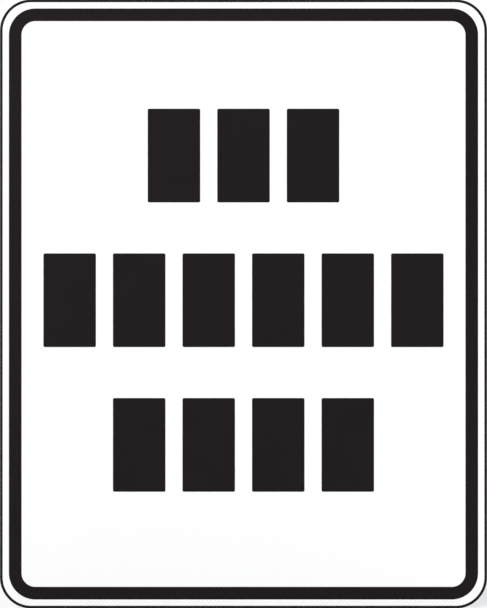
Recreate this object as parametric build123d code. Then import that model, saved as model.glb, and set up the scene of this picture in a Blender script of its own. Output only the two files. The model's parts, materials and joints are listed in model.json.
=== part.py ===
"""A 24 x 30 inch traffic sign: a flat aluminium plate with a reflective face, a black border and a
placeholder legend, carried on two slotted rails and two clamps that grip a round post.

Frame: millimetres, +Z up, the face looks along -Y. The origin is on the post's axis at the sign's
mid-height, so both clamps are centred on x = 0, y = 0.
"""

from build123d import *
import os
from math import cos, radians, tan

# ---- Sign face -------------------------------------------------------------------------------
SIGN_WIDTH = 609.6
SIGN_HEIGHT = 762.0
CORNER_RADIUS = 39.2
PLATE_THICKNESS = 2.03
SHEETING_THICKNESS = 0.35
FILM_THICKNESS = 0.1
EDGE_LINE_WIDTH = 3.4
BORDER_INSET = 11.25
BORDER_WIDTH = 15.85
BORDER_RADIUS = 33.1

# ---- Legend: plain blocks, as many in each row as the row has characters ---------------------
LEGEND_ROWS = {"legend_top_row": 3, "legend_middle_row": 6, "legend_bottom_row": 4}
BLOCK_WIDTH = 65.7
BLOCK_HEIGHT = 117.3
BLOCK_RADIUS = 2.0
BLOCK_GAP = 21.3
ROW_PITCH = 181.0
LEGEND_RISE = 4.7  # the middle row's centre stands this far above the sign's centre

# ---- Post and fasteners (M8) -----------------------------------------------------------------
POST_RADIUS = 60.3 / 2
BOLT_RADIUS = 4.0
BOLT_LENGTH = 50.0
BOLT_HEAD_HEIGHT = 5.3
HEX_WIDTH = 13.0  # across flats, nuts and bolt heads alike
NUT_HEIGHT = 6.8
NUT_BORE_RADIUS = 4.05
WASHER_RADIUS = 8.0
WASHER_BORE_RADIUS = 4.2
WASHER_THICKNESS = 1.6
CLEARANCE_HOLE_RADIUS = 4.5
BOLT_CHAMFER = 1.0

# ---- Rails -----------------------------------------------------------------------------------
RAIL_LENGTH = 560.0
RAIL_SPACING = 460.0  # between the centres of the two rails
RAIL_DEPTH = 20.0
FLANGE_WIDTH = 40.0
FLANGE_THICKNESS = 2.0
CHANNEL_WIDTH = 14.2
WALL_THICKNESS = 2.5
LIP_THICKNESS = 2.6
SLOT_WIDTH = 9.0
RAIL_EDGE_RADIUS = 0.8
RAIL_ROOT_RADIUS = 1.5
TAPE_THICKNESS = 1.1
TAPE_MARGIN = 1.0  # the tape stops this far inside the flange on every side
CAP_THICKNESS = 2.5
CAP_PLUG_LENGTH = 12.0
CAP_PLUG_CLEARANCE = 0.15
CAP_EDGE_RADIUS = 0.6

# ---- Clamps ----------------------------------------------------------------------------------
CLAMP_WIDTH = 30.0  # along the post
CLAMP_HALF_LENGTH = 56.0
BOLT_OFFSET = 45.0
SEAT_THICKNESS = 3.25
SADDLE_TOP = -14.0
SADDLE_END_RADIUS = 3.0
CELL_WALL = 2.9
CELL_END = 36.5
CELL_RADIUS = 0.8
STRAP_THICKNESS = 3.0
STRAP_LEG = 5.0  # straight run between the half circle and the bend
STRAP_BEND_RADIUS = 3.0
STRAP_CORNER_RADIUS = 6.0
SLIDE_GAP = 0.1  # between a clamp and the rail that it slides on

# ---- Places along Y, from the post's axis forward to the face --------------------------------
SADDLE_FRONT = -(POST_RADIUS + SEAT_THICKNESS)
RAIL_BACK = SADDLE_FRONT - SLIDE_GAP
RAIL_FRONT = RAIL_BACK - RAIL_DEPTH
PLATE_BACK = RAIL_FRONT - TAPE_THICKNESS
SHEETING_BACK = PLATE_BACK - PLATE_THICKNESS
FILM_BACK = SHEETING_BACK - SHEETING_THICKNESS
HEAD_BACK = RAIL_BACK - LIP_THICKNESS - SLIDE_GAP
EAR_BACK = -(STRAP_LEG + STRAP_BEND_RADIUS)

COS_30 = cos(radians(30))
TAN_30 = tan(radians(30))
SEAM = 0.01  # keeps a turned-off corner clear of the hexagon's own edge


def slab(sketch, back, thickness):
    """A sketch of the face, extruded forward from the plane y = back."""
    return extrude(Plane.XZ.offset(-back) * sketch, thickness)


def outline(inset, radius):
    """The sign's rounded rectangle, moved in from the edge."""
    return RectangleRounded(SIGN_WIDTH - 2 * inset, SIGN_HEIGHT - 2 * inset, radius)


def ring(inset, width, radius):
    """A band of constant width that follows the sign's edge."""
    return outline(inset, radius) - outline(inset + width, radius - width)


def face_pieces():
    """The plate, its reflective sheeting and the black films on it."""
    edge_line = ring(0, EDGE_LINE_WIDTH, CORNER_RADIUS)
    border = ring(BORDER_INSET, BORDER_WIDTH, BORDER_RADIUS)
    return {
        "sign_plate": slab(outline(0, CORNER_RADIUS), PLATE_BACK, PLATE_THICKNESS),
        "face_sheeting": slab(outline(0, CORNER_RADIUS), SHEETING_BACK, SHEETING_THICKNESS),
        "edge_line": slab(edge_line, FILM_BACK, FILM_THICKNESS),
        "border": slab(border, FILM_BACK, FILM_THICKNESS),
    }


def legend_pieces():
    """One node for each row of blocks. Every block is a solid of its own."""
    rows = {}
    for index, (name, count) in enumerate(LEGEND_ROWS.items()):
        height = LEGEND_RISE + ROW_PITCH * (1 - index)
        blocks = [
            Pos((place - (count - 1) / 2) * (BLOCK_WIDTH + BLOCK_GAP), height)
            * RectangleRounded(BLOCK_WIDTH, BLOCK_HEIGHT, BLOCK_RADIUS)
            for place in range(count)
        ]
        rows[name] = slab(Sketch() + blocks, FILM_BACK, FILM_THICKNESS)
    return rows


def span(low_y, high_y, width):
    """A rectangle of a rail's section, centred on the rail. Its first axis is Y, its second Z."""
    return Pos((low_y + high_y) / 2, 0) * Rectangle(high_y - low_y, width)


def flange_corners(shape):
    """The corners of a rail's section on the back of its flange, from one edge to the other."""
    return shape.vertices().group_by(Axis.X)[1].sort_by(Axis.Y)


def rail_envelope():
    """The outer shape of a rail's section: a flange with a box standing on it."""
    flange = span(RAIL_FRONT, RAIL_FRONT + FLANGE_THICKNESS, FLANGE_WIDTH)
    box = span(RAIL_FRONT, RAIL_BACK, CHANNEL_WIDTH + 2 * WALL_THICKNESS)
    shape = flange + box
    shape = fillet(flange_corners(shape)[1:-1], RAIL_ROOT_RADIUS)
    tips = flange_corners(shape)
    lips = shape.vertices().group_by(Axis.X)[-1]
    return fillet([tips[0], tips[-1], *lips], RAIL_EDGE_RADIUS)


def channel_section(clearance=0.0):
    """The hollow inside a rail that takes the bolt heads, taken in by a clearance."""
    low = RAIL_FRONT + FLANGE_THICKNESS + clearance
    high = RAIL_BACK - LIP_THICKNESS - clearance
    return span(low, high, CHANNEL_WIDTH - 2 * clearance)


def end_cap():
    """A moulded cover over the rail's end with a plug that fits its channel."""
    end = Plane.YZ.offset(RAIL_LENGTH / 2)
    cover = extrude(end * rail_envelope(), CAP_THICKNESS)
    cover = fillet(cover.faces().sort_by(Axis.X)[-1].edges(), CAP_EDGE_RADIUS)
    plug = extrude(end * channel_section(CAP_PLUG_CLEARANCE), -CAP_PLUG_LENGTH)
    plug = chamfer(plug.faces().sort_by(Axis.X)[0].edges(), CAP_EDGE_RADIUS)
    return cover + plug


def rail_pieces(side, height):
    """One rail with its foam tape and its two end caps."""
    slot = span(RAIL_BACK - LIP_THICKNESS, RAIL_BACK, SLOT_WIDTH)
    section = rail_envelope() - channel_section() - slot
    tape = Rectangle(RAIL_LENGTH - 2 * TAPE_MARGIN, FLANGE_WIDTH - 2 * TAPE_MARGIN)
    cap = end_cap()
    pieces = {
        "rail": extrude(Plane.YZ * section, RAIL_LENGTH / 2, both=True),
        "rail_tape": slab(tape, RAIL_FRONT, TAPE_THICKNESS),
        "rail_right_cap": cap,
        "rail_left_cap": mirror(cap, Plane.YZ),
    }
    return {f"{side}_{name}": Pos(0, 0, height) * piece for name, piece in pieces.items()}


def turned(*points):
    """A solid of revolution about the Y axis, from (radius, y) points."""
    return revolve(make_face(Polyline(*points, close=True)), Axis.Y)


def bolt_holes():
    """Two long cylinders along Y at the bolts' places, for cutting."""
    reach = 2 * RAIL_DEPTH
    hole = turned((0, -reach), (CLEARANCE_HOLE_RADIUS, -reach), (CLEARANCE_HOLE_RADIUS, reach), (0, reach))
    return Pos(-BOLT_OFFSET, 0, 0) * hole + Pos(BOLT_OFFSET, 0, 0) * hole


def saddle():
    """The front half of a clamp: a cut extrusion with a round seat, two bolt holes and two cells."""
    middle_y = (SADDLE_TOP + SADDLE_FRONT) / 2
    depth = SADDLE_TOP - SADDLE_FRONT
    body = Pos(0, middle_y) * Rectangle(2 * CLAMP_HALF_LENGTH, depth)
    body = fillet(body.vertices(), SADDLE_END_RADIUS) - Circle(POST_RADIUS)
    cell = Pos(CELL_END / 2, middle_y) * Rectangle(CELL_END, depth - 2 * CELL_WALL)
    cell = cell - Circle(POST_RADIUS + CELL_WALL)
    cell = fillet(cell.vertices(), CELL_RADIUS)
    body = body - cell - mirror(cell, Plane.YZ)
    return extrude(body, CLAMP_WIDTH / 2, both=True) - bolt_holes()


def strap():
    """The back half of a clamp: a steel strip bent round the post, with an ear at each end."""
    outer = POST_RADIUS + STRAP_THICKNESS
    bend_x = outer + STRAP_BEND_RADIUS
    outer_bend = STRAP_BEND_RADIUS + STRAP_THICKNESS
    ear_front = EAR_BACK - STRAP_THICKNESS
    half = make_face(
        [
            CenterArc((0, 0), POST_RADIUS, 0, 90),
            Line((POST_RADIUS, 0), (POST_RADIUS, -STRAP_LEG)),
            CenterArc((bend_x, -STRAP_LEG), outer_bend, 180, 90),
            Line((bend_x, ear_front), (CLAMP_HALF_LENGTH, ear_front)),
            Line((CLAMP_HALF_LENGTH, ear_front), (CLAMP_HALF_LENGTH, EAR_BACK)),
            Line((CLAMP_HALF_LENGTH, EAR_BACK), (bend_x, EAR_BACK)),
            CenterArc((bend_x, -STRAP_LEG), STRAP_BEND_RADIUS, 180, 90),
            Line((outer, -STRAP_LEG), (outer, 0)),
            CenterArc((0, 0), outer, 0, 90),
            Line((0, outer), (0, POST_RADIUS)),
        ]
    )
    solid = extrude(half + mirror(half, Plane.YZ), CLAMP_WIDTH / 2, both=True)
    corners = [e for e in solid.edges().filter_by(Axis.Y) if abs(e.center().X) > BOLT_OFFSET]
    return fillet(corners, STRAP_CORNER_RADIUS) - bolt_holes()


def hexagon(front, height, chamfered_ends):
    """A hexagon along Y from y = front, flats up and down, its corners turned off at the named ends."""
    flat_radius = HEX_WIDTH / 2
    prism = Plane.XZ.offset(-front) * RegularPolygon(flat_radius, 6, major_radius=False)
    prism = extrude(prism, -height)
    corner_radius = flat_radius / COS_30
    fall = (corner_radius - flat_radius) * TAN_30
    low = fall if "front" in chamfered_ends else 0
    high = fall if "back" in chamfered_ends else 0
    back = front + height
    barrel = turned(
        (0, front),
        (flat_radius if low else corner_radius, front),
        (corner_radius, front + low + SEAM),
        (corner_radius, back - high - SEAM),
        (flat_radius if high else corner_radius, back),
        (0, back),
    )
    return prism & barrel


def bolt():
    """A hex-head bolt along Y, its head in the rail's channel."""
    tip = HEAD_BACK + BOLT_LENGTH
    shank = turned(
        (0, HEAD_BACK),
        (BOLT_RADIUS, HEAD_BACK),
        (BOLT_RADIUS, tip - BOLT_CHAMFER),
        (BOLT_RADIUS - BOLT_CHAMFER, tip),
        (0, tip),
    )
    return hexagon(HEAD_BACK - BOLT_HEAD_HEIGHT, BOLT_HEAD_HEIGHT, ["front"]) + shank


def washer():
    """A flat washer lying on a strap's ear."""
    front = EAR_BACK
    back = front + WASHER_THICKNESS
    inner, outer = WASHER_BORE_RADIUS, WASHER_RADIUS
    return turned((inner, front), (outer, front), (outer, back), (inner, back))


def nut():
    """A hexagonal nut on a washer."""
    front = EAR_BACK + WASHER_THICKNESS
    back = front + NUT_HEIGHT
    bore = turned((0, front), (NUT_BORE_RADIUS, front), (NUT_BORE_RADIUS, back), (0, back))
    return hexagon(front, NUT_HEIGHT, ["front", "back"]) - bore


def clamp_pieces(side, height):
    """One clamp: saddle, strap, and the fasteners that pull the strap to the rail."""
    left, right = Pos(-BOLT_OFFSET, 0, 0), Pos(BOLT_OFFSET, 0, 0)
    pieces = {
        "clamp_saddle": saddle(),
        "clamp_bolts": left * bolt() + right * bolt(),
        "clamp_strap": strap(),
        "clamp_washers": left * washer() + right * washer(),
        "left_nut": left * nut(),
        "right_nut": right * nut(),
    }
    return {f"{side}_{name}": Pos(0, 0, height) * piece for name, piece in pieces.items()}


def clamp_travel():
    """How far a clamp slides each way before a bolt head meets an end cap."""
    head_corner = HEX_WIDTH / 2 / COS_30
    return RAIL_LENGTH / 2 - CAP_PLUG_LENGTH - BOLT_OFFSET - head_corner


def nut_travel():
    """How far a nut backs off before its outer face is level with the bolt's chamfer."""
    return HEAD_BACK + BOLT_LENGTH - BOLT_CHAMFER - (EAR_BACK + WASHER_THICKNESS + NUT_HEIGHT)


def main():
    os.makedirs("parts", exist_ok=True)
    nodes = face_pieces() | legend_pieces()
    for side, height in (("upper", RAIL_SPACING / 2), ("lower", -RAIL_SPACING / 2)):
        nodes |= rail_pieces(side, height) | clamp_pieces(side, height)
    for name, shape in nodes.items():
        export_step(shape, f"parts/{name}.step")
    print(f"{len(nodes)} nodes, clamp travel {clamp_travel():.2f}, nut travel {nut_travel():.2f}")


main()
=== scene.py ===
"""Looks for a flat traffic sign on slotted back rails and post clamps.

Metres, +Z up, the face looks along -Y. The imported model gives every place. Each piece is rebuilt on its
CAD node's sizes, with the fine arcs, softened edges, threads and moulded detail of the real one.
"""

import json
import math

import bmesh
import bpy
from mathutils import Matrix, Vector


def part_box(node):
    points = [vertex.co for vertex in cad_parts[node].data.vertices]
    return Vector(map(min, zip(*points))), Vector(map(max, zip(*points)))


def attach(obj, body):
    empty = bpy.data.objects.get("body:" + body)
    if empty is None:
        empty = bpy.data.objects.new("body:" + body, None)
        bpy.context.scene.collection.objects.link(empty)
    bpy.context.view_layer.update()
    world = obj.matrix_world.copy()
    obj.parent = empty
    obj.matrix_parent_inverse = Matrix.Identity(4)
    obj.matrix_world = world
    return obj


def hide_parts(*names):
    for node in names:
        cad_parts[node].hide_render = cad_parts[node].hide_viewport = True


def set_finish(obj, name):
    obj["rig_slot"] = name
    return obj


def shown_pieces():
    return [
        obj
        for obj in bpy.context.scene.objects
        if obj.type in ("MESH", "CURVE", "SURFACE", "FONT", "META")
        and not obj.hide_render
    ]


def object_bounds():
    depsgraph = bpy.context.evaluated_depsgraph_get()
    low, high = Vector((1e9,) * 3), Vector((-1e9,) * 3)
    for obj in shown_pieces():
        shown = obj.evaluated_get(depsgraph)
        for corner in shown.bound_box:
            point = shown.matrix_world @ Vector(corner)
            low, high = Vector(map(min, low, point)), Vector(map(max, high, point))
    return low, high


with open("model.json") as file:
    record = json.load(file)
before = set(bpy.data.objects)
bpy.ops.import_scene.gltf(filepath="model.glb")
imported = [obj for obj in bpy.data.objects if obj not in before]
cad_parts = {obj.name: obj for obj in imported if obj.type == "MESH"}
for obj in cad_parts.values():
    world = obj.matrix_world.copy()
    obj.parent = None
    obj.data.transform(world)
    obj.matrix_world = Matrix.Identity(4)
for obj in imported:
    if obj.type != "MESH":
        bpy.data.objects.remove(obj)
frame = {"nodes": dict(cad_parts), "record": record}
CAD_BOX = [list(corner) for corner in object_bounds()]
SIDES = ("upper", "lower")
HANDS = ("left", "right")
MM = 0.001

# ---- Sign face -------------------------------------------------------------------------------
CORNER_RADIUS = 39.2 * MM
EDGE_LINE_WIDTH = 3.4 * MM
BORDER_WIDTH = 15.85 * MM
BORDER_RADIUS = 33.1 * MM
LEGEND_ROWS = {"legend_top_row": 3, "legend_middle_row": 6, "legend_bottom_row": 4}  # blocks in each
BLOCK_GAP = 21.3 * MM
BLOCK_RADIUS = 2.0 * MM
LATTICE_PITCH = 3.6 * MM  # of the cells inside the reflective sheeting
LATTICE_WALL = 0.08  # half a cell wall, as a share of the pitch

# ---- Rails, tape and end caps ----------------------------------------------------------------
FLANGE_THICKNESS = 2.0 * MM
CHANNEL_WIDTH = 14.2 * MM
WALL_THICKNESS = 2.5 * MM
LIP_THICKNESS = 2.6 * MM
SLOT_WIDTH = 9.0 * MM
RAIL_EDGE_RADIUS = 0.8 * MM
RAIL_ROOT_RADIUS = 1.5 * MM
CHANNEL_CORNER_RADIUS = 0.4 * MM
SLOT_EDGE_RADIUS = 0.3 * MM
DRILL_LINE = 15.0 * MM  # from the rail's centre to the groove that marks where its flange is drilled
DRILL_LINE_HALF_WIDTH = 0.6 * MM
DRILL_LINE_DEPTH = 0.3 * MM
TAPE_BULGE = 0.25 * MM
TAPE_STEPS = 6  # across the tape's thickness
CAP_THICKNESS = 2.5 * MM
CAP_PLUG_CLEARANCE = 0.15 * MM
CAP_PANEL_MARGIN = 2.4 * MM  # round the shallow panel in a cap's outer face
CAP_PANEL_DEPTH = 0.4 * MM
CAP_PANEL_RADIUS = 1.0 * MM
SAW_PITCH = 0.7 * MM  # of the arcs that the blade left on sawn ends

# ---- Clamps ----------------------------------------------------------------------------------
POST_RADIUS = 30.15 * MM
CLEARANCE_HOLE_RADIUS = 4.5 * MM
SADDLE_END_RADIUS = 3.0 * MM
CELL_WALL = 2.9 * MM
CELL_END = 36.5 * MM
CELL_RADIUS = 0.8 * MM
STRAP_THICKNESS = 3.0 * MM
STRAP_BEND_RADIUS = 3.0 * MM
STRAP_CORNER_RADIUS = 6.0 * MM

# ---- Edges, rounded off as each way of making leaves them ------------------------------------
PLATE_EDGE = 0.25 * MM
RAIL_EDGE = 0.2 * MM
CAP_EDGE = 0.35 * MM
SADDLE_EDGE = 0.35 * MM
STRAP_EDGE = 0.45 * MM
EDGE_SEGMENTS = 2
SHARP = math.radians(32)  # an edge that turns by more than this is sharp
FLAT = math.radians(0.2)  # faces that turn by less than this are one face
MERGE_DISTANCE = 0.002 * MM

# ---- M8 fasteners ----------------------------------------------------------------------------
SEGMENTS = 48  # round a fastener: a multiple of twelve puts a step on every corner of a hexagon
PITCH = 1.25 * MM
THREAD_RADIUS = 4.0 * MM
THREAD_DEPTH = 0.6134 * PITCH
THREAD_LENGTH = 22.0 * MM
THREAD_CLEARANCE = 0.06 * MM
BOLT_HEAD_HEIGHT = 5.3 * MM
BOLT_FILLET = 0.3 * MM  # under the head
HEAD_SEAT_HEIGHT = 0.3 * MM  # from the hexagon's lower end to the seat
HEAD_DISH_DEPTH = 0.25 * MM
NUT_MOUTH_RADIUS = 4.3 * MM
TIP_CHAMFER = 1.0 * MM
# Radii over the distance from the axis to a flat: the flat end's, the seat's, and the dish's rim and floor.
HEAD_FACE_SHARE = 0.95
HEAD_SEAT_SHARE = 0.96
HEAD_DISH_RIM_SHARE = 0.7
HEAD_DISH_FLOOR_SHARE = 0.6
HEX_SLOPE = math.tan(math.radians(30))
WASHER_BORE = 4.2 * MM
WASHER_ROUND = 0.3 * MM
ROUND_MIDDLE = 0.3  # how far the middle of a rounded edge stands back, as a share of its radius
# Where one turn's crest, flank, root and flank start, with the share of the depth cut there.
THREAD_PROFILE = ((0.0, 0.0), (1 / 8, 0.0), (7 / 16, 1.0), (11 / 16, 1.0))


# ---- Outlines --------------------------------------------------------------------------------
FINE_ARC = 3.0  # degrees to a step
COARSE_ARC = 15.0
COARSE_RADIUS = 2.5 * MM  # an arc smaller than this takes coarse steps


def arc(radius, start, end, centre=(0.0, 0.0)):
    """Outline corners along an arc, from one angle to another in degrees, both ends included."""
    step = COARSE_ARC if radius < COARSE_RADIUS else FINE_ARC
    count = math.ceil(abs(end - start) / step)
    corners = []
    for index in range(count + 1):
        angle = math.radians(start + (end - start) * index / count)
        corners.append((centre[0] + radius * math.cos(angle), centre[1] + radius * math.sin(angle), 0.0))
    return corners


def rounded(*corners):
    """A closed outline through (u, v, radius) corners, each rounded off by its radius."""
    outline = []
    for index, (u, v, radius) in enumerate(corners):
        if radius == 0:
            outline.append((u, v))
            continue
        at = Vector((u, v))
        before = (Vector(corners[index - 1][:2]) - at).normalized()
        after = (Vector(corners[(index + 1) % len(corners)][:2]) - at).normalized()
        half = before.angle(after) / 2
        centre = at + (before + after).normalized() * radius / math.sin(half)
        touch = at + before * radius / math.tan(half) - centre
        start = math.degrees(math.atan2(touch.y, touch.x))
        turn = math.copysign(180 - 2 * math.degrees(half), before.y * after.x - before.x * after.y)
        outline += [corner[:2] for corner in arc(radius, start, start + turn, centre)]
    return outline


def rectangle(low_u, low_v, high_u, high_v, radius=0.0):
    """A rectangle's outline, its corners rounded."""
    corners = ((low_u, low_v), (high_u, low_v), (high_u, high_v), (low_u, high_v))
    return rounded(*((u, v, radius) for u, v in corners))


def mirrored(half):
    """Corners on the v > 0 side, followed by their mirror images in the order that closes the outline."""
    return half + [(u, -v, radius) for u, v, radius in reversed(half)]


# ---- Solids ----------------------------------------------------------------------------------
# Which of an outline's u and v and the sweep's w goes to X, to Y and to Z.
ACROSS_FACE = (0, 2, 1)
ALONG_RAIL = (2, 0, 1)
ALONG_POST = (0, 1, 2)


def loop(mesh, outline, w, axes):
    """An outline's vertices at one place along the sweep."""
    return [mesh.verts.new([(u, v, w)[axis] for axis in axes]) for u, v in outline]


def bridge(mesh, rings):
    """Quads between each ring and the next."""
    for near, far in zip(rings, rings[1:]):
        for step in range(len(near)):
            following = (step + 1) % len(near)
            mesh.faces.new((near[step], near[following], far[following], far[step]))


def prism(outline, low, high, axes, mesh=None):
    """A closed solid: an outline carried from w = low to w = high."""
    if mesh is None:
        mesh = bmesh.new()
    ends = [loop(mesh, outline, w, axes) for w in (low, high)]
    bridge(mesh, ends)
    for end in ends:
        mesh.faces.new(end)
    return mesh


def shifted(mesh, **by):
    """The same solid, moved along x, y or z."""
    bmesh.ops.translate(mesh, verts=mesh.verts, vec=[by.get(axis, 0.0) for axis in "xyz"])
    return mesh


def combined(mesh, operation, *others):
    """A solid joined with others (UNION), cut by them (DIFFERENCE) or kept inside them (INTERSECT)."""
    solids = []
    for solid in (mesh, *others):
        bmesh.ops.recalc_face_normals(solid, faces=solid.faces)
        data = bpy.data.meshes.new("solid")
        solid.to_mesh(data)
        solid.free()
        solids.append(bpy.data.objects.new("solid", data))
        bpy.context.scene.collection.objects.link(solids[-1])
    for other in solids[1:]:
        step = solids[0].modifiers.new("step", "BOOLEAN")
        step.operation = operation
        step.solver = "EXACT"
        step.object = other
    made = bmesh.new()
    made.from_object(solids[0], bpy.context.evaluated_depsgraph_get())
    for solid in solids:
        bpy.data.meshes.remove(solid.data)
    return made


def softened(mesh, width):
    """The same solid with its sharp edges rounded off."""
    bmesh.ops.remove_doubles(mesh, verts=mesh.verts, dist=MERGE_DISTANCE)
    bmesh.ops.dissolve_limit(mesh, angle_limit=FLAT, verts=mesh.verts, edges=mesh.edges, delimit=set())
    bmesh.ops.recalc_face_normals(mesh, faces=mesh.faces)
    sharp = [e for e in mesh.edges if len(e.link_faces) == 2 and e.calc_face_angle() > SHARP]
    bmesh.ops.bevel(
        mesh,
        geom=sharp,
        offset=width,
        offset_type="OFFSET",
        segments=EDGE_SEGMENTS,
        profile=0.5,
        affect="EDGES",
        clamp_overlap=True,
    )
    return mesh


def finished(mesh, name, body, slot, node):
    """Turns a solid into a smooth-shaded piece that rides on a body and stands for a CAD node."""
    bmesh.ops.remove_doubles(mesh, verts=mesh.verts, dist=MERGE_DISTANCE)
    bmesh.ops.dissolve_degenerate(mesh, edges=mesh.edges, dist=MERGE_DISTANCE)
    bmesh.ops.recalc_face_normals(mesh, faces=mesh.faces)
    data = bpy.data.meshes.new(name)
    mesh.to_mesh(data)
    mesh.free()
    for face in data.polygons:
        face.use_smooth = True
    data.set_sharp_from_angle(angle=SHARP)
    piece = bpy.data.objects.new(name, data)
    bpy.context.scene.collection.objects.link(piece)
    weighted = piece.modifiers.new("weighted normals", "WEIGHTED_NORMAL")
    weighted.keep_sharp = True
    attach(piece, body)
    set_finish(piece, slot)
    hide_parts(node)
    return piece


# ---- Sign face -------------------------------------------------------------------------------
def face_outline(node, radius, inset=0.0):
    """A node's rounded rectangle as seen from the front, moved in by an inset."""
    low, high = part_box(node)
    return rectangle(low.x + inset, low.z + inset, high.x - inset, high.z - inset, radius - inset)


def make_panel():
    """The sheared and deburred plate, and the sheeting laid over it."""
    low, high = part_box("sign_plate")
    plate = prism(face_outline("sign_plate", CORNER_RADIUS), low.y, high.y, ACROSS_FACE)
    finished(softened(plate, PLATE_EDGE), "plate_blank", "sign", "plate_aluminium", "sign_plate")
    low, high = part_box("face_sheeting")
    sheeting = prism(face_outline("face_sheeting", CORNER_RADIUS), low.y, high.y, ACROSS_FACE)
    finished(sheeting, "prismatic_sheeting", "sign", "white_sheeting", "face_sheeting")


def make_band(node, name, width, radius):
    """A band of black film that follows the sign's edge."""
    low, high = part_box(node)
    mesh = bmesh.new()
    rings = []
    for inset, place in ((0, low.y), (0, high.y), (width, high.y), (width, low.y)):
        rings.append(loop(mesh, face_outline(node, radius, inset), place, ACROSS_FACE))
    bridge(mesh, rings + rings[:1])
    finished(mesh, name, "sign", "black_film", node)


def make_legend_row(node, count):
    """One row of plain blocks of black film."""
    low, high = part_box(node)
    width = (high.x - low.x - (count - 1) * BLOCK_GAP) / count
    mesh = bmesh.new()
    for place in range(count):
        left = low.x + place * (width + BLOCK_GAP)
        outline = rectangle(left, low.z, left + width, high.z, BLOCK_RADIUS)
        prism(outline, low.y, high.y, ACROSS_FACE, mesh)
    finished(mesh, f"{node}_film", "sign", "black_film", node)


# ---- Rails, tape and end caps ----------------------------------------------------------------
def rail_envelope(low, high):
    """Half of a rail's outer section, from its front edge to its back, about its own centre."""
    flange_back = low.y + FLANGE_THICKNESS
    box_edge = CHANNEL_WIDTH / 2 + WALL_THICKNESS
    flange_edge = (high.z - low.z) / 2
    return [
        (low.y, flange_edge, 0.0),
        (flange_back, flange_edge, RAIL_EDGE_RADIUS),
        (flange_back, box_edge, RAIL_ROOT_RADIUS),
        (high.y, box_edge, RAIL_EDGE_RADIUS),
    ]


def make_rail(side):
    """The extrusion: a flange with two drill lines, and on it a channel with a slot in its back."""
    low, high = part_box(f"{side}_rail")
    half = rail_envelope(low, high)
    flange_back = half[1][0]
    lip_front = high.y - LIP_THICKNESS
    half[2:2] = [
        (flange_back, DRILL_LINE + DRILL_LINE_HALF_WIDTH, 0.0),
        (flange_back - DRILL_LINE_DEPTH, DRILL_LINE, 0.0),
        (flange_back, DRILL_LINE - DRILL_LINE_HALF_WIDTH, 0.0),
    ]
    half += [
        (high.y, SLOT_WIDTH / 2, SLOT_EDGE_RADIUS),
        (lip_front, SLOT_WIDTH / 2, SLOT_EDGE_RADIUS),
        (lip_front, CHANNEL_WIDTH / 2, CHANNEL_CORNER_RADIUS),
        (flange_back, CHANNEL_WIDTH / 2, CHANNEL_CORNER_RADIUS),
    ]
    rail = prism(rounded(*mirrored(half)), low.x, high.x, ALONG_RAIL)
    rail = softened(shifted(rail, z=(low.z + high.z) / 2), RAIL_EDGE)
    finished(rail, f"{side}_rail_extrusion", "sign", "rail_aluminium", f"{side}_rail")


def make_tape(side):
    """The foam tape, which bulges a little along its squeezed edges."""
    low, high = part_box(f"{side}_rail_tape")
    half_width = (high.z - low.z) / 2
    half = []
    for step in range(TAPE_STEPS + 1):
        swell = TAPE_BULGE * (math.sin(math.pi * step / TAPE_STEPS) - 1)
        half.append((low.y + (high.y - low.y) * step / TAPE_STEPS, half_width + swell, 0.0))
    tape = shifted(prism(rounded(*mirrored(half)), low.x, high.x, ALONG_RAIL), z=(low.z + high.z) / 2)
    finished(tape, f"{side}_foam_tape", "sign", "foam_tape", f"{side}_rail_tape")


def make_cap(side, hand):
    """A moulded end cap: a cover with a shallow panel in its outer face, and a plug in the channel."""
    node = f"{side}_rail_{hand}_cap"
    low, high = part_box(node)
    outer, inner = (high.x, low.x) if hand == "right" else (low.x, high.x)
    outwards = math.copysign(1, outer - inner)
    seat = outer - outwards * CAP_THICKNESS
    floor = outer - outwards * CAP_PANEL_DEPTH
    envelope = rail_envelope(low, high)
    flange_back, box_edge = envelope[2][:2]
    panel_edge = box_edge - CAP_PANEL_MARGIN
    plug_edge = CHANNEL_WIDTH / 2 - CAP_PLUG_CLEARANCE
    plug_back = high.y - LIP_THICKNESS - CAP_PLUG_CLEARANCE
    cover = prism(rounded(*mirrored(envelope)), seat, outer, ALONG_RAIL)
    panel = rectangle(flange_back, -panel_edge, high.y - CAP_PANEL_MARGIN, panel_edge, CAP_PANEL_RADIUS)
    panel = prism(panel, floor, outer + outwards * CAP_PANEL_DEPTH, ALONG_RAIL)
    plug = rectangle(flange_back + CAP_PLUG_CLEARANCE, -plug_edge, plug_back, plug_edge)
    plug = prism(plug, inner, (seat + outer) / 2, ALONG_RAIL)
    cap = combined(combined(cover, "DIFFERENCE", panel), "UNION", plug)
    cap = softened(shifted(cap, z=(low.z + high.z) / 2), CAP_EDGE)
    finished(cap, f"{side}_{hand}_moulded_cap", "sign", "cap_plastic", node)


# ---- Clamps ----------------------------------------------------------------------------------
def bolt_holes(side):
    """Two cylinders along Y round the bolts of a clamp, for cutting, about the clamp's own middle."""
    holes = []
    for low, high in halves(f"{side}_clamp_bolts"):
        centre = ((low.x + high.x) / 2, 0.0)
        outline = [corner[:2] for corner in arc(CLEARANCE_HOLE_RADIUS, 0, 360, centre)[:-1]]
        holes.append(prism(outline, low.y, high.y, ACROSS_FACE))
    return holes


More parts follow.
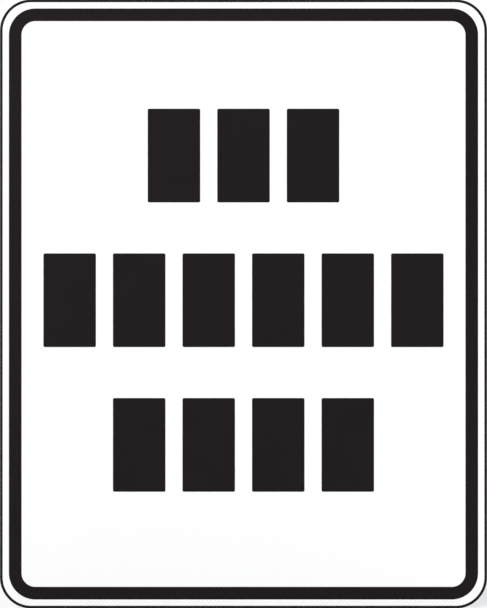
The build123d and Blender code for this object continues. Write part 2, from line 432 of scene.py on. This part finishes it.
def saddle_cell(low, high):
    """The outline of the hollow in a saddle's right end, between its seat and its end wall."""
    hub = POST_RADIUS + CELL_WALL
    front, back = low.y + CELL_WALL, high.y - CELL_WALL
    corners = []
    for place, touch in ((front + CELL_RADIUS, 270), (back - CELL_RADIUS, 90)):
        across = math.sqrt((hub + CELL_RADIUS) ** 2 - place**2)
        inward = math.degrees(math.atan2(-place, -across))
        corners.append(((across, place), touch, inward))
    (low_centre, low_touch, low_inward), (high_centre, high_touch, high_inward) = corners
    return rounded(
        *arc(CELL_RADIUS, low_touch, low_inward % 360, low_centre),
        *arc(hub, low_inward - 180, high_inward - 180),
        *arc(CELL_RADIUS, high_inward, high_touch, high_centre),
        (CELL_END, back, CELL_RADIUS),
        (CELL_END, front, CELL_RADIUS),
    )


def make_saddle(side):
    """The front half of a clamp: a sawn length of extrusion with a round seat and two hollow cells."""
    low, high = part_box(f"{side}_clamp_saddle")
    half_width = (high.z - low.z) / 2
    mouth = math.degrees(math.asin(high.y / POST_RADIUS))
    outline = rounded(
        (high.x, high.y, SADDLE_END_RADIUS),
        *arc(POST_RADIUS, mouth, -180 - mouth),
        (low.x, high.y, SADDLE_END_RADIUS),
        (low.x, low.y, SADDLE_END_RADIUS),
        (high.x, low.y, SADDLE_END_RADIUS),
    )
    cell = saddle_cell(low, high)
    cuts = [prism(cell, -2 * half_width, 2 * half_width, ALONG_POST)]
    cuts.append(prism([(-x, y) for x, y in cell], -2 * half_width, 2 * half_width, ALONG_POST))
    saddle = prism(outline, -half_width, half_width, ALONG_POST)
    saddle = combined(saddle, "DIFFERENCE", *cuts, *bolt_holes(side))
    saddle = shifted(softened(saddle, SADDLE_EDGE), z=(low.z + high.z) / 2)
    finished(saddle, f"{side}_saddle_block", f"{side}_clamp", "saddle_aluminium", f"{side}_clamp_saddle")


def make_strap(side):
    """The back half of a clamp: strip bent round the post, its ears cut round at their corners."""
    low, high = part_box(f"{side}_clamp_strap")
    half_width = (high.z - low.z) / 2
    outer = POST_RADIUS + STRAP_THICKNESS
    ear_front, ear_back = low.y, low.y + STRAP_THICKNESS
    reach = high.x + STRAP_THICKNESS
    bent = rounded(
        (reach, ear_front, 0.0),
        (POST_RADIUS, ear_front, STRAP_BEND_RADIUS + STRAP_THICKNESS),
        *arc(POST_RADIUS, 0, 180),
        (-POST_RADIUS, ear_front, STRAP_BEND_RADIUS + STRAP_THICKNESS),
        (-reach, ear_front, 0.0),
        (-reach, ear_back, 0.0),
        (-outer, ear_back, STRAP_BEND_RADIUS),
        *arc(outer, 180, 0),
        (outer, ear_back, STRAP_BEND_RADIUS),
        (reach, ear_back, 0.0),
    )
    blank = rectangle(low.x, -half_width, high.x, half_width, STRAP_CORNER_RADIUS)
    strap = prism(bent, -2 * half_width, 2 * half_width, ALONG_POST)
    strap = combined(strap, "INTERSECT", prism(blank, 2 * low.y, 2 * high.y, ACROSS_FACE))
    strap = combined(strap, "DIFFERENCE", *bolt_holes(side))
    strap = shifted(softened(strap, STRAP_EDGE), z=(low.z + high.z) / 2)
    finished(strap, f"{side}_strap_pressing", f"{side}_strap", "strap_steel", f"{side}_clamp_strap")


# ---- Fasteners -------------------------------------------------------------------------------
def halves(node):
    """The left and right box of a node that holds a pair of fasteners."""
    vertices = [v.co for v in frame["nodes"][node].data.vertices]
    boxes = []
    for side in (-1, 1):
        own = [co for co in vertices if co.x * side > 0]
        low = Vector([min(co[axis] for co in own) for axis in range(3)])
        high = Vector([max(co[axis] for co in own) for axis in range(3)])
        boxes.append((low, high))
    return boxes


def point(radius, y, step, centre):
    """A point on a circle about a line along Y. Steps turn right-handed about +Y from straight up."""
    angle = 2 * math.pi * step / SEGMENTS
    return (centre.x + radius * math.sin(angle), y, centre.z + radius * math.cos(angle))


def ring(mesh, radius, y, centre):
    """One ring of vertices. The radius and y may be numbers, or functions of the step."""
    made = []
    for step in range(SEGMENTS):
        r = radius(step) if callable(radius) else radius
        place = y(step) if callable(y) else y
        made.append(mesh.verts.new(point(r, place, step, centre)))
    return made


def hexagon(half_flats):
    """The radius of a hexagon with a flat straight up, as a function of the step."""

    def radius(step):
        turn = (2 * math.pi * step / SEGMENTS + math.pi / 6) % (math.pi / 3) - math.pi / 6
        return half_flats / math.cos(turn)

    return radius


def turned_off(half_flats, face, inward):
    """Where a hexagon's side meets the cone that turns off its corners, as y for each step."""
    radius = hexagon(half_flats)
    return lambda step: face + inward * (radius(step) - HEAD_FACE_SHARE * half_flats) * HEX_SLOPE


def thread(mesh, start, end, crest, centre, radius_at):
    """A right-hand thread's surface from y = start to y = end, with a crest through y = crest straight up.

    Rows follow the helix. Rows past an end are gathered onto it, and merge with the ring there.
    """
    first = crest + PITCH * (math.floor((start - crest) / PITCH) - 1)
    turns = math.ceil((end - first) / PITCH) + 3
    rows = [(turn + share, cut) for turn in range(turns) for share, cut in THREAD_PROFILE]
    grid = []
    for along, cut in rows:
        line = []
        for step in range(SEGMENTS):
            y = first + PITCH * (along + step / SEGMENTS - 1)
            y = min(max(y, start), end)
            line.append(mesh.verts.new(point(radius_at(cut, y), y, step, centre)))
        grid.append(line)
    per_turn = len(THREAD_PROFILE)
    for row in range(len(rows) - per_turn - 1):
        for step in range(SEGMENTS):
            last = step == SEGMENTS - 1
            near = grid[row + per_turn][0] if last else grid[row][step + 1]
            far = grid[row + per_turn + 1][0] if last else grid[row + 1][step + 1]
            mesh.faces.new((grid[row][step], near, far, grid[row + 1][step]))


def bolt(mesh, low, high):
    """A hex-head bolt that fills a box, its head at the low end, threaded at the high end."""
    centre = (low + high) / 2
    half_flats = (high.z - low.z) / 2
    side = hexagon(half_flats)
    seat = low.y + BOLT_HEAD_HEIGHT
    thread_start = high.y - THREAD_LENGTH
    tip_radius = THREAD_RADIUS - THREAD_DEPTH
    dish = ring(mesh, HEAD_DISH_FLOOR_SHARE * half_flats, low.y + HEAD_DISH_DEPTH, centre)
    rings = [
        dish,
        ring(mesh, HEAD_DISH_RIM_SHARE * half_flats, low.y, centre),
        ring(mesh, HEAD_FACE_SHARE * half_flats, low.y, centre),
        ring(mesh, side, turned_off(half_flats, low.y, 1), centre),
        ring(mesh, side, seat - HEAD_SEAT_HEIGHT, centre),
        ring(mesh, HEAD_SEAT_SHARE * half_flats, seat, centre),
        ring(mesh, THREAD_RADIUS + BOLT_FILLET, seat, centre),
        ring(mesh, THREAD_RADIUS, seat + BOLT_FILLET, centre),
        ring(mesh, THREAD_RADIUS, thread_start, centre),
    ]
    mesh.faces.new(dish)
    bridge(mesh, rings)

    def radius_at(cut, y):
        run_out = min((y - thread_start) / PITCH, 1)
        chamfer = THREAD_RADIUS - THREAD_DEPTH * (1 - min((high.y - y) / TIP_CHAMFER, 1))
        return min(THREAD_RADIUS - THREAD_DEPTH * cut * run_out, chamfer)

    thread(mesh, thread_start, high.y, high.y, centre, radius_at)
    tip = [
        ring(mesh, tip_radius, high.y, centre),
        ring(mesh, 0.5 * tip_radius, high.y, centre),
    ]
    bridge(mesh, tip)
    mesh.faces.new(tip[1])


def nut(mesh, low, high, crest):
    """A hexagonal nut that fills a box, its thread in step with a bolt's crest."""
    centre = (low + high) / 2
    half_flats = (high.z - low.z) / 2
    side = hexagon(half_flats)
    face_radius = HEAD_FACE_SHARE * half_flats
    rings = [
        ring(mesh, NUT_MOUTH_RADIUS, low.y, centre),
        ring(mesh, face_radius, low.y, centre),
        ring(mesh, side, turned_off(half_flats, low.y, 1), centre),
        ring(mesh, side, turned_off(half_flats, high.y, -1), centre),
        ring(mesh, face_radius, high.y, centre),
        ring(mesh, NUT_MOUTH_RADIUS, high.y, centre),
    ]
    bridge(mesh, rings)

    def radius_at(cut, y):
        cone = NUT_MOUTH_RADIUS - min(y - low.y, high.y - y)
        return max(THREAD_RADIUS + THREAD_CLEARANCE - THREAD_DEPTH * cut, cone)

    thread(mesh, low.y, high.y, crest, centre, radius_at)


def washer(mesh, low, high):
    """A stamped washer that fills a box, rounded on the side that the punch entered."""
    centre = (low + high) / 2
    outer = (high.z - low.z) / 2
    middle = ROUND_MIDDLE * WASHER_ROUND
    profile = [
        (WASHER_BORE, low.y),
        (outer, low.y),
        (outer, high.y - WASHER_ROUND),
        (outer - middle, high.y - middle),
        (outer - WASHER_ROUND, high.y),
        (WASHER_BORE + WASHER_ROUND, high.y),
        (WASHER_BORE, high.y - WASHER_ROUND),
        (WASHER_BORE, low.y),
    ]
    bridge(mesh, [ring(mesh, radius, y, centre) for radius, y in profile])


def make_fasteners(side):
    """The threaded bolts, nuts and stamped washers of one clamp."""
    bolts, washers = bmesh.new(), bmesh.new()
    for low, high in halves(f"{side}_clamp_bolts"):
        bolt(bolts, low, high)
    for low, high in halves(f"{side}_clamp_washers"):
        washer(washers, low, high)
    finished(bolts, f"{side}_threaded_bolts", f"{side}_clamp", "fastener_steel", f"{side}_clamp_bolts")
    finished(washers, f"{side}_stamped_washers", f"{side}_strap", "fastener_steel", f"{side}_clamp_washers")
    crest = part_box(f"{side}_clamp_bolts")[1].y
    for hand in HANDS:
        node = f"{side}_{hand}_nut"
        mesh = bmesh.new()
        nut(mesh, *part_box(node), crest)
        finished(mesh, f"{side}_{hand}_threaded_nut", node, "fastener_steel", node)


# ---- Materials -------------------------------------------------------------------------------
class Surface:
    """A material on one Principled shader, with short calls for the pattern nodes used here.

    Patterns read the piece's own coordinates in metres, so a scale is a count per metre.
    """

    def __init__(self, name, **values):
        self.material = bpy.data.materials.new(name)
        self.material.use_nodes = True
        self.tree = self.material.node_tree
        self.shader = self.tree.nodes["Principled BSDF"]
        self.coordinates = self.tree.nodes.new("ShaderNodeTexCoord")
        self.normal = None
        for socket, value in values.items():
            self.set(socket.replace("_", " "), value)

    def set(self, socket, value):
        """Gives one of the shader's sockets a value or a link."""
        self.put(value, self.shader.inputs[socket])

    def put(self, value, socket):
        """Gives any socket a value, or a link from another socket."""
        if isinstance(value, bpy.types.NodeSocket):
            self.tree.links.new(value, socket)
        else:
            socket.default_value = value

    def node(self, kind, inputs, **settings):
        """A new node with its inputs and settings filled in."""
        made = self.tree.nodes.new(kind)
        for name, value in settings.items():
            setattr(made, name, value)
        for key, value in inputs.items():
            self.put(value, made.inputs[key])
        return made

    def place(self, stretch=(1, 1, 1), turn=(0, 0, 0)):
        """The piece's own coordinates, turned and then stretched."""
        turned = self.node(
            "ShaderNodeMapping",
            {"Vector": self.coordinates.outputs["Object"], "Rotation": turn},
        ).outputs["Vector"]
        return self.node("ShaderNodeMapping", {"Vector": turned, "Scale": stretch}).outputs["Vector"]

    def noise(self, stretch, detail=2.0, roughness=0.5, turn=(0, 0, 0)):
        """Smooth noise from 0 to 1, with so many features a metre along each axis."""
        inputs = {"Vector": self.place(stretch, turn), "Scale": 1.0, "Detail": detail, "Roughness": roughness}
        return self.node("ShaderNodeTexNoise", inputs).outputs["Fac"]

    def cells(self, per_metre, feature="F1"):
        """A Voronoi node with so many cells a metre."""
        inputs = {"Vector": self.place(), "Scale": per_metre}
        return self.node("ShaderNodeTexVoronoi", inputs, feature=feature)

    def math(self, operation, *values):
        """A sum on sockets or numbers."""
        return self.node("ShaderNodeMath", dict(enumerate(values)), operation=operation).outputs[0]

    def remap(self, value, low, high, to_low=0.0, to_high=1.0):
        """A value's range carried over to another, and held at its ends."""
        inputs = {"Value": value, "From Min": low, "From Max": high, "To Min": to_low, "To Max": to_high}
        return self.node("ShaderNodeMapRange", inputs).outputs["Result"]

    def tint(self, share, first, second):
        """A colour between two others."""
        made = self.node("ShaderNodeMix", {0: share, 6: rgba(first), 7: rgba(second)}, data_type="RGBA")
        return made.outputs[2]

    def facing(self, axis):
        """How squarely the surface faces along one of the piece's own axes, from 0 to 1."""
        parts = self.node("ShaderNodeSeparateXYZ", {0: self.coordinates.outputs["Normal"]})
        return self.math("ABSOLUTE", parts.outputs[axis])

    def relief(self, height, depth):
        """Adds a bump of so many metres to the surface."""
        inputs = {"Height": height, "Distance": depth, "Strength": 1.0}
        if self.normal:
            inputs["Normal"] = self.normal
        self.normal = self.node("ShaderNodeBump", inputs).outputs["Normal"]
        self.set("Normal", self.normal)

    def lattice(self):
        """The sheeting's diamond lattice: 0 inside a cell, rising to 1 along the middle of its walls."""
        diagonal = (0, math.radians(45), 0)
        parts = self.node("ShaderNodeSeparateXYZ", {0: self.place((1 / LATTICE_PITCH,) * 3, diagonal)})
        walls = []
        for axis in ("X", "Z"):
            share = self.math("FRACT", parts.outputs[axis])
            from_middle = self.math("ABSOLUTE", self.math("SUBTRACT", share, 0.5))
            walls.append(self.remap(from_middle, 0.5 - LATTICE_WALL, 0.5))
        return self.math("MAXIMUM", *walls)


def rgba(colour):
    """A colour socket as it is, or three numbers with an opaque fourth."""
    return colour if isinstance(colour, bpy.types.NodeSocket) else (*colour, 1.0)


def white_sheeting():
    """Prismatic reflective sheet: white, with the faint lattice of its cells under a clear film."""
    finish = {"Roughness": 0.42, "Specular_IOR_Level": 0.35, "Coat_Weight": 0.25, "Coat_Roughness": 0.12}
    s = Surface("white_sheeting", **finish)
    walls = s.lattice()
    clouds = s.noise((9, 9, 9), detail=3)
    sheet = s.tint(clouds, (0.915, 0.915, 0.915), (0.90, 0.901, 0.903))
    s.set("Base Color", s.tint(walls, sheet, (0.75, 0.755, 0.765)))
    s.relief(walls, 0.006 * MM)
    s.relief(s.noise((260, 260, 260)), 0.01 * MM)
    return s.material


def black_film():
    """Black cut film over the sheeting, whose cells still show faintly through it."""
    s = Surface("black_film", Specular_IOR_Level=0.09)
    grain = s.noise((900, 900, 900), detail=2)
    clouds = s.noise((14, 14, 14), detail=3)
    s.set("Base Color", s.tint(clouds, (0.0075, 0.0047, 0.0054), (0.0095, 0.0065, 0.0072)))
    s.set("Roughness", s.remap(grain, 0.3, 0.7, 0.36, 0.46))
    s.relief(s.lattice(), 0.004 * MM)
    s.relief(grain, 0.004 * MM)
    return s.material


def scratches(s, turn, density):
    """Thin straight scratches lying one way: 1 on a scratch."""
    lines = s.noise((35, 35, 2600), detail=1, turn=turn)
    patches = s.noise((22, 22, 22), detail=1)
    found = s.remap(lines, 0.80 - density, 0.84 - density)
    return s.math("MULTIPLY", found, s.remap(patches, 0.52, 0.60))


def plate_aluminium():
    """Mill-finish rolled sheet: faint upright rolling lines, a cloudy sheen and a few handling scratches."""
    s = Surface("mill_aluminium", Metallic=1.0)
    fine = s.noise((1300, 1300, 14), detail=3, roughness=0.6)
    broad = s.noise((70, 70, 1.5), detail=3)
    clouds = s.noise((7, 7, 7), detail=5, roughness=0.6)
    left_scuffs = scratches(s, (0, math.radians(24), 0), 0.05)
    right_scuffs = scratches(s, (0, math.radians(-63), 0), 0.04)
    scuffs = s.math("MAXIMUM", left_scuffs, right_scuffs)
    lines = s.math("ADD", s.math("MULTIPLY", fine, 0.35), s.math("MULTIPLY", broad, 0.2))
    tone = s.math("ADD", lines, s.math("MULTIPLY", clouds, 0.45))
    metal = s.tint(s.remap(tone, 0.35, 0.65), (0.475, 0.48, 0.49), (0.62, 0.625, 0.63))
    metal = s.tint(scuffs, metal, (0.86, 0.86, 0.86))
    sheared = s.remap(s.facing("Y"), 0.7, 0.4)
    s.set("Base Color", s.tint(sheared, metal, (0.74, 0.74, 0.745)))
    polish = s.math("SUBTRACT", tone, s.math("MULTIPLY", scuffs, 0.3))
    s.set("Roughness", s.remap(polish, 0.35, 0.65, 0.33, 0.45))
    s.relief(fine, 0.0022 * MM)
    s.relief(scuffs, -0.01 * MM)
    return s.material


def extruded_aluminium(name, stretch, cut_axis, dark, light, blade):
    """Extruded section: die lines along it, and on its cut ends the arcs round the saw blade's centre."""
    s = Surface(name, Metallic=1.0)
    lines = s.noise(stretch, detail=3, roughness=0.65)
    clouds = s.noise((40, 40, 40), detail=3)
    tone = s.math("ADD", s.math("MULTIPLY", lines, 0.65), s.math("MULTIPLY", clouds, 0.35))
    reach = s.node("ShaderNodeVectorMath", {0: s.place(), 1: blade}, operation="DISTANCE").outputs["Value"]
    saw = s.math("SINE", s.math("MULTIPLY", reach, 2 * math.pi / SAW_PITCH))
    cut = s.remap(s.facing(cut_axis), 0.8, 0.95)
    side = s.tint(s.remap(tone, 0.35, 0.65), dark, light)
    sawn = s.tint(s.remap(saw, -1.0, 1.0), (0.66, 0.665, 0.67), (0.82, 0.82, 0.825))
    s.set("Base Color", s.tint(cut, side, sawn))
    s.set("Roughness", s.remap(tone, 0.3, 0.7, 0.27, 0.42))
    s.relief(s.math("MULTIPLY", lines, s.math("SUBTRACT", 1.0, cut)), 0.006 * MM)
    s.relief(s.math("MULTIPLY", saw, cut), 0.006 * MM)
    return s.material


def rail_aluminium():
    """Bright extrusion, with its die lines along X."""
    dark, light = (0.55, 0.56, 0.575), (0.70, 0.705, 0.71)
    return extruded_aluminium("rail_aluminium", (9, 1300, 1300), "X", dark, light, (0.4, -0.2, 0.1))


def saddle_aluminium():
    """Duller extrusion, with its die lines along Z."""
    dark, light = (0.50, 0.51, 0.52), (0.66, 0.665, 0.67)
    return extruded_aluminium("saddle_aluminium", (1500, 1500, 30), "Z", dark, light, (0.13, -0.16, 0.0))


def foam_tape():
    """Closed-cell acrylic foam, cut clean at its edges."""
    s = Surface("foam_tape", Roughness=0.85, Specular_IOR_Level=0.25)
    pores = s.cells(3200).outputs["Distance"]
    s.set("Base Color", s.tint(pores, (0.055, 0.057, 0.06), (0.11, 0.112, 0.115)))
    s.relief(pores, 0.05 * MM)
    return s.material


def cap_plastic():
    """Moulded black plastic with a fine spark-eroded grain and a slight bloom."""
    s = Surface("cap_plastic", Specular_IOR_Level=0.4)
    grain = s.noise((2600, 2600, 2600), detail=2)
    bloom = s.noise((120, 120, 120), detail=3)
    s.set("Base Color", s.tint(bloom, (0.016, 0.016, 0.017), (0.032, 0.032, 0.034)))
    s.set("Roughness", s.remap(bloom, 0.3, 0.7, 0.42, 0.58))
    s.relief(grain, 0.02 * MM)
    return s.material


def strap_steel():
    """Hot-dip galvanised strip: zinc spangle, a dull bloom, and greyer sheared edges."""
    s = Surface("galvanised_steel", Metallic=1.0)
    spangle = s.cells(230)
    crystal = s.node("ShaderNodeSeparateColor", {0: spangle.outputs["Color"]}).outputs["Red"]
    bloom = s.noise((60, 60, 60), detail=4)
    fine = s.noise((900, 900, 900), detail=2)
    tone = s.math("ADD", s.math("MULTIPLY", crystal, 0.4), s.math("MULTIPLY", bloom, 0.6))
    metal = s.tint(s.remap(tone, 0.2, 0.8), (0.46, 0.475, 0.49), (0.62, 0.635, 0.65))
    sheared = s.remap(s.facing("Z"), 0.8, 0.95)
    s.set("Base Color", s.tint(sheared, metal, (0.46, 0.47, 0.48)))
    s.set("Roughness", s.remap(tone, 0.2, 0.8, 0.38, 0.54))
    s.relief(fine, 0.012 * MM)
    return s.material


def fastener_steel():
    """Cold-formed stainless steel with light turning marks."""
    s = Surface("stainless_steel", Metallic=1.0)
    forming = s.noise((700, 2600, 700), detail=3)
    handled = s.noise((150, 150, 150), detail=3)
    s.set("Base Color", s.tint(s.remap(handled, 0.3, 0.7), (0.50, 0.49, 0.475), (0.68, 0.675, 0.66)))
    s.set("Roughness", s.remap(forming, 0.3, 0.7, 0.22, 0.36))
    s.relief(forming, 0.006 * MM)
    return s.material


def dress(materials):
    """Gives every shown piece the material of its slot in the record."""
    slots = {part["node"]: part["material_slot"] for part in frame["record"]["subparts"]}
    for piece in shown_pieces():
        slot = piece.get("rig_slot") or slots[piece.name]
        piece.data.materials.clear()
        piece.data.materials.append(materials[slot])


# ---- Stage -----------------------------------------------------------------------------------
FLOOR_GAP = 0.5 * MM  # under the sign's bottom edge
FLOOR_REACH = 40.0  # each way from the middle
LAMPS = {  # azimuth, elevation, strength and spread
    "key": (-32, 30, 1.64, 50),
    "fill": (55, 20, 0.7, 60),
    "back": (155, 45, 1.35, 50),
}
OVERHEAD = 0.45  # the studio's brightness straight up, against its brightness at the horizon
TOWARDS_CAMERA = 0.4  # its brightness high in front of the face, against that behind the sign
FRAMING = 0.9983  # the picture's height over the sign's, which brings the sign's sides to the picture's
CAMERA_LENS = 100.0


def make_floor(height):
    """A wide pale floor just under the sign, paler far off, where it meets the white horizon."""
    corners = [(x * FLOOR_REACH, y * FLOOR_REACH, height) for x, y in ((-1, -1), (1, -1), (1, 1), (-1, 1))]
    data = bpy.data.meshes.new("floor")
    data.from_pydata(corners, [], [(0, 1, 2, 3)])
    floor = bpy.data.objects.new("floor", data)
    bpy.context.scene.collection.objects.link(floor)
    s = Surface("pale_floor", Roughness=0.75, Specular_IOR_Level=0.2)
    near = s.tint(s.noise((5, 5, 5), detail=3), (0.90, 0.90, 0.90), (0.93, 0.93, 0.927))
    reach = s.node("ShaderNodeVectorMath", {0: s.place()}, operation="LENGTH").outputs["Value"]
    s.set("Base Color", s.tint(s.remap(reach, 1.5, 9.0), near, (0.96, 0.96, 0.96)))
    data.materials.append(s.material)


def make_sun(name, azimuth, elevation, strength, spread):
    """A soft lamp in a direction, in degrees. Azimuth 0 is in front of the face, and 90 is to its right."""
    lamp = bpy.data.lights.new(name, "SUN")
    lamp.energy = strength
    lamp.angle = math.radians(spread)
    around, up = math.radians(azimuth), math.radians(elevation)
    source = Vector((math.sin(around) * math.cos(up), -math.cos(around) * math.cos(up), math.sin(up)))
    holder = bpy.data.objects.new(name, lamp)
    holder.rotation_euler = (-source).to_track_quat("-Z", "Y").to_euler()
    bpy.context.scene.collection.objects.link(holder)


def make_world():
    """A pale studio: white round the horizon, greyer overhead and above the camera's side."""
    world = bpy.data.worlds.new("studio")
    world.use_nodes = True
    bpy.context.scene.world = world
    tree = world.node_tree
    where = tree.nodes.new("ShaderNodeTexCoord")
    parts = tree.nodes.new("ShaderNodeSeparateXYZ")
    tree.links.new(where.outputs["Generated"], parts.inputs[0])

    def ramp(axis, ends, levels):
        """A smooth change from one level to another between two heights or depths of the direction."""
        made = tree.nodes.new("ShaderNodeMapRange")
        made.interpolation_type = "SMOOTHSTEP"
        tree.links.new(parts.outputs[axis], made.inputs["Value"])
        made.inputs["From Min"].default_value, made.inputs["From Max"].default_value = ends
        made.inputs["To Min"].default_value, made.inputs["To Max"].default_value = levels
        return made.outputs["Result"]

    def combine(operation, first, second):
        """A sum on two sockets or numbers."""
        made = tree.nodes.new("ShaderNodeMath")
        made.operation = operation
        for socket, value in zip(made.inputs, (first, second)):
            if isinstance(value, bpy.types.NodeSocket):
                tree.links.new(value, socket)
            else:
                socket.default_value = value
        return made.outputs[0]

    overhead = ramp("Z", (0.2, 0.9), (1.0, OVERHEAD))
    in_front = ramp("Y", (-0.4, 0.9), (1.0 - TOWARDS_CAMERA, 0.0))
    above = ramp("Z", (0.0, 0.4), (0.0, 1.0))
    side = combine("SUBTRACT", 1.0, combine("MULTIPLY", in_front, above))
    tree.links.new(combine("MULTIPLY", overhead, side), tree.nodes["Background"].inputs["Strength"])
    tree.nodes["Background"].inputs["Color"].default_value = (1.0, 1.0, 1.0, 1.0)


def make_camera():
    """Straight in front of the face, so far off that the sign's height fills the picture's."""
    low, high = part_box("edge_line")
    camera = bpy.data.cameras.new("camera")
    camera.lens = CAMERA_LENS
    camera.clip_start = 0.05
    distance = FRAMING * (high.z - low.z) * CAMERA_LENS / camera.sensor_width
    holder = bpy.data.objects.new("camera", camera)
    holder.location = ((low.x + high.x) / 2, low.y - distance, (low.z + high.z) / 2)
    holder.rotation_euler = (math.radians(90), 0, 0)
    bpy.context.scene.collection.objects.link(holder)
    bpy.context.scene.camera = holder


# ---- Build -----------------------------------------------------------------------------------
make_panel()
make_band("edge_line", "edge_line_film", EDGE_LINE_WIDTH, CORNER_RADIUS)
make_band("border", "border_film", BORDER_WIDTH, BORDER_RADIUS)
for row, characters in LEGEND_ROWS.items():
    make_legend_row(row, characters)
for level in SIDES:
    make_rail(level)
    make_tape(level)
    for end in HANDS:
        make_cap(level, end)
    make_saddle(level)
    make_strap(level)
    make_fasteners(level)
dress(
    {
        "plate_aluminium": plate_aluminium(),
        "white_sheeting": white_sheeting(),
        "black_film": black_film(),
        "rail_aluminium": rail_aluminium(),
        "saddle_aluminium": saddle_aluminium(),
        "foam_tape": foam_tape(),
        "cap_plastic": cap_plastic(),
        "strap_steel": strap_steel(),
        "fastener_steel": fastener_steel(),
    }
)
make_floor(CAD_BOX[0][2] - FLOOR_GAP)
make_world()
for lamp, (azimuth, elevation, strength, spread) in LAMPS.items():
    make_sun(lamp, azimuth, elevation, strength, spread)
make_camera()
bpy.context.scene.view_settings.view_transform = "Standard"
